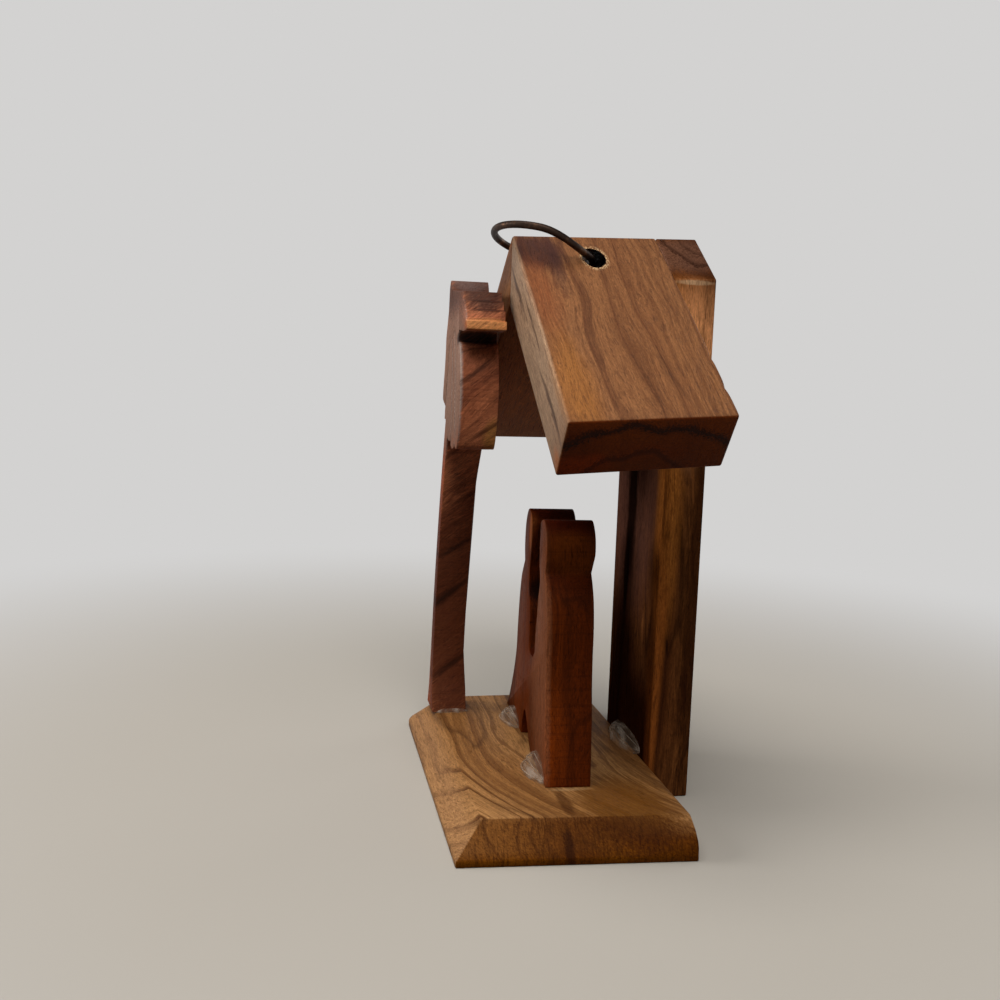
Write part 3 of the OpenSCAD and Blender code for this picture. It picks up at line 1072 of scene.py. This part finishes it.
# %% [markdown]
# ## Palm: shape
# The palm and the family are fret-sawn, so their outlines are the CAD's own. A copy of the node's mesh is
# merged into one skin, its flat faces are dissolved back into single faces, and the sawn edges are eased.
# The palm's trunk was then planed a little thinner at the back than its foot and crown.

# %% Fret-sawn boards
WELD = 0.002 * MM
FLAT = math.radians(0.5)
PALM_EASE = 0.16 * MM


def fret_sawn(name, node, ease):
    """A merged copy of a CAD node, with its edges eased."""
    obj = bpy.data.objects.new(name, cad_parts[node].data.copy())
    scene.collection.objects.link(obj)
    only(obj)
    bpy.ops.object.mode_set(mode="EDIT")
    bpy.ops.mesh.select_all(action="SELECT")
    bpy.ops.mesh.remove_doubles(threshold=WELD)
    bpy.ops.mesh.dissolve_limited(angle_limit=FLAT)
    bpy.ops.object.mode_set(mode="OBJECT")
    ease_edges(obj, ease, segments=2, angle=40)
    return obj


def rise(value, low, high):
    """0 below low, 1 above high, and a smooth rise between."""
    share = min(1.0, max(0.0, (value - low) / (high - low)))
    return share * share * (3 - 2 * share)


palm = fret_sawn("palm_board", "palm_tree", PALM_EASE)
print("palm merged, with", len(palm.data.polygons), "faces")

# %% Planed trunk
TRUNK_THINNING = 0.5 * MM
TRUNK_FOOT_MM = (8, 15)
TRUNK_NECK_MM = (43, 47)
TRUNK_EDGE_MM = -9.0
TRUNK_LEAN = 0.05
PALM_BACK_SKIN = 1 * MM

palm_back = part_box("palm_tree")[1].y
for vert in palm.data.vertices:
    height = vert.co.z / MM
    in_trunk = vert.co.x / MM < TRUNK_EDGE_MM + TRUNK_LEAN * height
    if in_trunk and vert.co.y > palm_back - PALM_BACK_SKIN:
        vert.co.y -= TRUNK_THINNING * rise(height, *TRUNK_FOOT_MM) * (1 - rise(height, *TRUNK_NECK_MM))
hand_over(palm, palm_wood, "stable", "palm_tree")

# %% [markdown]
# ## Family: its wood
# The family is the reddest and darkest board. Its grain stands upright like the figures, the front is
# rubbed paler, and the narrow gap between the heads and a notch below it are painted dark as shade.

# %% Family wood
OXBLOOD = Palette(
    pale=colour(118, 50, 10),
    warm=colour(88, 34, 5),
    dark=colour(54, 19, 3),
    vein=colour(28, 9, 3),
    end_tint=colour(200, 170, 150),
)
figure_wood = olive_wood(
    "figure_wood", turn=(0, 0, 0), pith=(8, 24, 0), palette=OXBLOOD, ring_mm=2.2,
    figure=Figure(bands=0.55, rings=0.4, veins=0.4), sawn=0.2, shine=0.03,
    marks=(
        # A warmer lower edge on the right, and the rubbed front
        Patch((16.0, -1.0, 14.0), (4.0, 3.0, 12.0), colour(136, 58, 8), 0.5),
        Patch((0.0, -1.2, 20.0), (30.0, 0.9, 26.0), colour(150, 92, 60), 0.65),
        # Lighter wood on both heads
        Patch((-4.0, -0.2, 37.0), (1.3, 1.4, 4.0), colour(176, 98, 48), 0.7),
        Patch((13.0, 3.0, 36.0), (7.0, 5.0, 4.5), colour(160, 78, 24), 0.75),
        # Painted shadow in the gap between the heads and in the notch below it, and a nick below that
        Patch((-2.0, 2.4, 35.0), (2.4, 3.0, 5.0), NEAR_BLACK, 0.75),
        Patch((-2.4, 1.4, 28.2), (2.6, 2.6, 2.6), NEAR_BLACK, 0.95),
        Patch((-1.2, -0.3, 23.2), (1.6, 1.0, 0.3), NEAR_BLACK, 0.8),
    ),
)
print("wood", figure_wood.name)

# %% [markdown]
# ## Family: shape
# Both figures stand on one board, which thickens a little towards the heads and thins at the foot. The
# left head is a little taller. These are amounts that a file takes off, so the verts of the fret-sawn
# board are moved by soft steps of their height.

# %% Family board
HEAD_THICKENING = 0.4 * MM
HEAD_FROM_MM = (33, 36)
FOOT_THINNING = 0.25 * MM
FOOT_TO_MM = (5, 12)
FRONT_FULLNESS = 0.25 * MM
LEFT_HEAD_RISE = 0.25 * MM
LEFT_HEAD_MM = (35, 40)
FAMILY_BACK_Y = 4 * MM
RIGHT_FIGURE_X = 5 * MM
LEFT_FIGURE_X = 0.5 * MM
FAMILY_EASE = 0.3 * MM

family = fret_sawn("family_board", "holy_family", FAMILY_EASE)
for vert in family.data.vertices:
    height = vert.co.z / MM
    if vert.co.y > FAMILY_BACK_Y:
        vert.co.y += HEAD_THICKENING * rise(height, *HEAD_FROM_MM)
        vert.co.y -= FOOT_THINNING * (1 - rise(height, *FOOT_TO_MM))
    elif vert.co.x > RIGHT_FIGURE_X:
        vert.co.y -= FRONT_FULLNESS
    if vert.co.x < LEFT_FIGURE_X:
        vert.co.z += LEFT_HEAD_RISE * rise(height, *LEFT_HEAD_MM)
hand_over(family, figure_wood, "stable", "holy_family")

# %% [markdown]
# ## Ring: its finish
# The ring is oxidised bronze wire, dark where hands never rub it. Cloudy noise gives the rubbed places,
# which are both lighter and smoother, as on the real metal.

# %% Dark bronze
CLOUDS_PER_METRE = 420.0
GRAIN_PER_METRE = 2600.0
RUBBED_EDGE = (0.46, 0.72)
DULL_BRONZE = 0.52
RUBBED_POLISH = 0.2
GRAIN_METRES = 0.00005


def dark_bronze():
    f = Finish("dark_bronze")
    place = f.add("ShaderNodeTexCoord", out="Object")
    cloud = f.noise(place, scale=CLOUDS_PER_METRE, detail=4.0, roughness=0.6)
    rubbed = f.step(cloud, *RUBBED_EDGE)
    tone = f.mix(rubbed, colour(52, 38, 30), colour(112, 80, 56))
    rough = DULL_BRONZE - rubbed * RUBBED_POLISH
    grain = f.noise(place, scale=GRAIN_PER_METRE, detail=2.0)
    bump = f.add("ShaderNodeBump", {"Height": grain, "Strength": 0.2, "Distance": GRAIN_METRES})
    return f.surface(base_color=tone, metallic=0.85, roughness=rough, normal=bump)


bronze = dark_bronze()
print("finish", bronze.name)

# %% [markdown]
# ## Ring: shape
# A length of wire was threaded through the hole and closed to a ring. It starts as a torus at the ring's
# size. A closed wire is never quite flat: where it sits in the hole it follows the hole, and away from it
# it was sprung a little to one side, so each vert moves between those two places. A shallow groove marks
# where the ends of the wire meet.

# %% Wire ring
RING_RADIUS = 7.0 * MM
WIRE_RADIUS = 0.5 * MM
WIRE_STEPS = 120
JOINT_ANGLE = math.radians(201)
JOINT_WIDTH = math.pi / WIRE_STEPS
JOINT_SHRINK = 0.82
SEATED_CENTRE_MM = (1.0, -0.98, 77.88)
SEATED_LEAN = math.radians(15.7)
SPRUNG_CENTRE_MM = (1.0, -1.15, 78.2)
SPRUNG_LEAN = math.radians(13.5)
SPRUNG_CANT = math.radians(7.5)
SPRING_FROM_HOLE_MM = (1.2, 9.5)


def ring_place(centre_mm, lean, cant):
    """Where a ring that lies flat goes: its centre, its lean to the back and its cant to the left."""
    turned = Matrix.Rotation(-lean, 4, "X") @ Matrix.Rotation(-cant, 4, "Y")
    return Matrix.Translation(Vector(centre_mm) * MM) @ turned


bpy.ops.object.select_all(action="DESELECT")
bpy.ops.mesh.primitive_torus_add(
    major_radius=RING_RADIUS, minor_radius=WIRE_RADIUS, major_segments=WIRE_STEPS, minor_segments=20,
)
ring = bpy.context.object
ring.name = "wire_ring"
seated = ring_place(SEATED_CENTRE_MM, SEATED_LEAN, 0.0)
sprung = ring_place(SPRUNG_CENTRE_MM, SPRUNG_LEAN, SPRUNG_CANT)
for vert in ring.data.vertices:
    angle = math.atan2(vert.co.y, vert.co.x) % math.tau
    if abs(angle - JOINT_ANGLE) < JOINT_WIDTH:
        heart = Vector((math.cos(angle), math.sin(angle), 0.0)) * RING_RADIUS
        vert.co = heart.lerp(vert.co, JOINT_SHRINK)
    from_hole = (RING_RADIUS - vert.co.y) / MM
    vert.co = (seated @ vert.co).lerp(sprung @ vert.co, rise(from_hole, *SPRING_FROM_HOLE_MM))
hand_over(ring, bronze, "ring", "hanging_ring")

# %% [markdown]
# ## Glue: its finish
# Set hot glue is cloudy and satin, and it was drawn out in strands as the nozzle was pulled away. Drawn
# noise makes the strands, and the glue is thinner and clearer between them, so alpha follows them too.

# %% Set glue
STRANDS_PER_METRE = (300.0, 1000.0, 1000.0)
STRAND_EDGE = (0.36, 0.72)
STRAND_METRES = 0.00012
GLUE_IOR = 1.49
GLUE_SHINE = 0.25
CLEAR_GLUE = 0.16
STRAND_CLOUD = 0.3


def set_glue():
    f = Finish("set_glue")
    place = f.add("ShaderNodeTexCoord", out="Object")
    drawn = f.drawn_noise(place, STRANDS_PER_METRE, detail=2.0, roughness=0.5)
    strand = f.step(drawn, *STRAND_EDGE)
    tone = f.mix(strand, colour(156, 132, 110), colour(190, 174, 158))
    rough = 0.5 + strand * 0.15
    bump = f.add("ShaderNodeBump", {"Height": drawn, "Strength": 0.2, "Distance": STRAND_METRES})
    f.shader.inputs["IOR"].default_value = GLUE_IOR
    f.shader.inputs["Specular IOR Level"].default_value = GLUE_SHINE
    cloudy = CLEAR_GLUE + strand * STRAND_CLOUD
    return f.surface(base_color=tone, roughness=rough, alpha=cloudy, normal=bump)


glue = set_glue()
print("finish", glue.name)

# %% [markdown]
# ## Glue: smears and strings
# Hot glue was pressed into the corner between each foot and the base, and pulled away in strings. Each
# smear is a sphere stretched along the corner and sunk into it, lumped with noise. The strings are thin
# tubes that run along it in low arcs. Every smear is modelled by one function, with its own sizes.

# %% Glue string
STRING_RADIUS = 0.1 * MM
STRING_STEPS = 24
ARC_ROUNDNESS = 0.7
Strand = namedtuple("Strand", "reach height start end")


def glue_string(name, start, end, bow):
    """A thin tube from start to end, bowed out in an arc."""
    path = bpy.data.curves.new(name, "CURVE")
    path.dimensions = "3D"
    path.bevel_depth = STRING_RADIUS
    path.bevel_resolution = 2
    path.use_fill_caps = True
    line = path.splines.new("POLY")
    line.points.add(STRING_STEPS)
    for i, point in enumerate(line.points):
        share = i / STRING_STEPS
        arc = math.sin(math.pi * share) ** ARC_ROUNDNESS
        point.co = (*(start.lerp(end, share) + bow * arc), 1.0)
    string = bpy.data.objects.new(name, path)
    scene.collection.objects.link(string)
    only(string)
    bpy.ops.object.convert(target="MESH")
    return bpy.context.object


print("glue strings", 2 * STRING_RADIUS / MM, "mm thick")

# %% Glue smear
LUMP_SIZE = 1.4 * MM
LUMP_DEPTH = 0.2 * MM
UPWARD = Vector((0.0, 0.0, 1.0))


def glue_smear(name, node, along, out, size, strands):
    """A smear on the corner line of a glue bead. Along and out are its directions, and size is its half
    length, spread and climb. A strand's reach and height are shares of spread and climb, and its start
    and end are shares of the half length."""
    half_length, spread, climb = size
    low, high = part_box(node)
    middle = (low + high) / 2
    corner = Vector((middle.x, middle.y, low.z)) - out * (abs((high - low).dot(out)) / 2)
    bpy.ops.object.select_all(action="DESELECT")
    bpy.ops.mesh.primitive_uv_sphere_add(segments=48, ring_count=24, radius=1.0)
    smear = bpy.context.object
    smear.name = name
    turned = Matrix((along, out, UPWARD)).transposed().to_4x4()
    smear.matrix_world = Matrix.Translation(corner) @ turned @ Matrix.Diagonal((*size, 1.0))
    bpy.ops.object.transform_apply(location=True, rotation=True, scale=True)
    lumps = bpy.data.textures.new(name + "_lumps", "CLOUDS")
    lumps.noise_scale = LUMP_SIZE
    apply_modifier(
        smear, "DISPLACE", texture=lumps, texture_coords="GLOBAL", strength=LUMP_DEPTH, mid_level=0.5,
    )
    parts = [smear]
    for strand in strands:
        bow = out * (spread * strand.reach) + UPWARD * (climb * strand.height)
        first = corner + along * (strand.start * half_length)
        last = corner + along * (strand.end * half_length)
        parts.append(glue_string(name + "_string", first, last, bow))
    only(smear)
    for part in parts:
        part.select_set(True)
    bpy.ops.object.join()
    bpy.ops.object.mode_set(mode="EDIT")
    bpy.ops.mesh.select_all(action="SELECT")
    bpy.ops.mesh.normals_make_consistent(inside=False)
    bpy.ops.object.mode_set(mode="OBJECT")
    hand_over(smear, glue, "stable", node)


print("glue smears lumped by", LUMP_DEPTH / MM, "mm")

# %% Four smears
FAMILY_TURN = math.radians(-3)
FAMILY_ALONG = Vector((math.cos(FAMILY_TURN), math.sin(FAMILY_TURN), 0.0))
FAMILY_FRONT = Vector((math.sin(FAMILY_TURN), -math.cos(FAMILY_TURN), 0.0))
RIGHTWARD = Vector((1.0, 0.0, 0.0))
BACKWARD = Vector((0.0, 1.0, 0.0))
STRANDS = (
    Strand(reach=1.06, height=0.25, start=-1.0, end=1.0),
    Strand(reach=0.8, height=0.75, start=-0.95, end=1.0),
    Strand(reach=0.45, height=1.0, start=-0.8, end=0.9),
)

# The post's smear slumps into its corner, so it slants down as it comes forward
SLUMPED = Vector((0.0, -1.0, -1.0))

glue_smear(
    "glue_smear_right", "glue_figure_right", FAMILY_ALONG, FAMILY_FRONT,
    (5.0 * MM, 3.0 * MM, 2.5 * MM), STRANDS,
)
glue_smear(
    "glue_smear_left", "glue_figure_left", FAMILY_ALONG, FAMILY_FRONT,
    (4.4 * MM, 2.8 * MM, 2.0 * MM), STRANDS,
)
glue_smear(
    "glue_smear_post", "glue_post", RIGHTWARD, SLUMPED,
    (6.4 * MM, 2.0 * MM, 1.6 * MM), STRANDS,
)
glue_smear(
    "glue_smear_palm", "glue_palm", BACKWARD, RIGHTWARD,
    (2.6 * MM, 0.6 * MM, 0.6 * MM), (),
)

# %% [markdown]
# ## Floor
# A plain pale bowl of paper takes the place of a studio sweep: flat under the ornament and curving up all
# round, so no horizon shows from any side. It starts as a disc, and its rim is extruded in small steps
# that rise and widen along a quarter circle.

# %% Paper bowl
FLOOR_RADIUS = 0.55
BOWL_RADIUS = 0.45
BOWL_STEPS = 16

bpy.ops.object.select_all(action="DESELECT")
bpy.ops.mesh.primitive_circle_add(vertices=96, radius=FLOOR_RADIUS, fill_type="TRIFAN")
bowl = bpy.context.object
bowl.name = "paper_bowl"
bpy.ops.object.mode_set(mode="EDIT")
pick_edges(bowl, lambda e: e.is_boundary)
rim_reach = FLOOR_RADIUS
rim_height = 0.0
for step in range(1, BOWL_STEPS + 1):
    angle = math.radians(90) * step / BOWL_STEPS
    reach = FLOOR_RADIUS + BOWL_RADIUS * math.sin(angle)
    height = BOWL_RADIUS * (1 - math.cos(angle))
    lift = (0.0, 0.0, height - rim_height)
    bpy.ops.mesh.extrude_region_move(TRANSFORM_OT_translate={"value": lift})
    widen = reach / rim_reach
    bpy.ops.transform.resize(value=(widen, widen, 1.0), center_override=(0.0, 0.0, height))
    rim_reach = reach
    rim_height = height
bpy.ops.object.mode_set(mode="OBJECT")
only(bowl)
bpy.ops.object.shade_smooth()
print("paper bowl", triangles(bowl), "triangles")

# %% [markdown]
# ## Paper
# The paper is matt and a little cloudy, and it keeps the ornament's shadow. Its far wall looks pale to the
# eye, in metal and through glue, but throws no light back, as a wall across a room would. So away from the
# middle the paper blends into a plain glow, for those rays alone.

# %% Paper finish
CLOUD_PER_METRE = 9.0
WALL_BLEND = (0.05, 0.21)
WALL_COLOUR = colour(211, 210, 209)

paper = Finish("pale_paper")
paper_place = paper.add("ShaderNodeTexCoord", out="Object")
paper_cloud = paper.noise(paper_place, scale=CLOUD_PER_METRE, detail=2.0)
paper_tone = paper.mix(paper_cloud, colour(180, 174, 164), colour(188, 182, 173))
paper.surface(base_color=paper_tone, roughness=0.9)
paper_reach = paper.length(paper.vector("MULTIPLY", paper_place, ACROSS))
seen = paper.add("ShaderNodeLightPath", out="Is Camera Ray")
seen = seen + paper.add("ShaderNodeLightPath", out="Is Glossy Ray")
seen = seen + paper.add("ShaderNodeLightPath", out="Is Transmission Ray")
far_wall = paper.step(paper_reach, *WALL_BLEND) * seen
glow = paper.add("ShaderNodeEmission", {"Color": WALL_COLOUR, "Strength": 1.0})
lit = Wire(paper, paper.shader.outputs[0])
blend = paper.add("ShaderNodeMixShader", {0: far_wall, 1: lit, 2: glow})
paper.fill(paper.tree.nodes["Material Output"], {"Surface": blend})
bowl.data.materials.append(paper.material)
bowl.visible_diffuse = False
print("floor finish", paper.material.name)

# %% [markdown]
# ## Light
# The real ornament stood in a room by day. Four wide soft lamps stand in for it: a ceiling over the front,
# a window to the front left, the bright room behind the camera, and a weak one at the back so that the
# post isn't black. The roof then shades what is under it, and a faint room colour fills the shade.

# %% Lamps
STABLE_MIDDLE = Vector((0.0, 0.003, 0.04))


def lamp(name, place, size, watts, tint):
    """A round soft lamp that faces the middle of the stable."""
    light = bpy.data.lights.new(name, "AREA")
    light.shape = "DISK"
    light.size = size
    light.energy = watts
    light.color = tint
    obj = bpy.data.objects.new(name, light)
    aim = STABLE_MIDDLE - Vector(place)
    obj.matrix_world = Matrix.Translation(place) @ aim.to_track_quat("-Z", "Y").to_matrix().to_4x4()
    scene.collection.objects.link(obj)
    print("lamp", name, watts, "W")


lamp("ceiling", (0.08, -0.14, 0.62), 0.40, 2.1, (1.0, 0.98, 0.95))
lamp("window", (-0.15, -0.60, 0.28), 0.35, 1.8, (1.0, 0.99, 0.98))
lamp("room", (0.50, -0.05, 0.55), 0.35, 2.1, (1.0, 0.97, 0.93))
lamp("back", (-0.30, 0.60, 0.30), 0.40, 0.6, (1.0, 0.99, 0.98))

# %% Room colour
ROOM_TINT = (0.95, 0.96, 1.0, 1.0)
ROOM_STRENGTH = 0.08

world = bpy.data.worlds.new("pale_room")
scene.world = world
world.use_nodes = True
backdrop = world.node_tree.nodes["Background"]
backdrop.inputs["Color"].default_value = ROOM_TINT
backdrop.inputs["Strength"].default_value = ROOM_STRENGTH
print("room light", ROOM_STRENGTH)
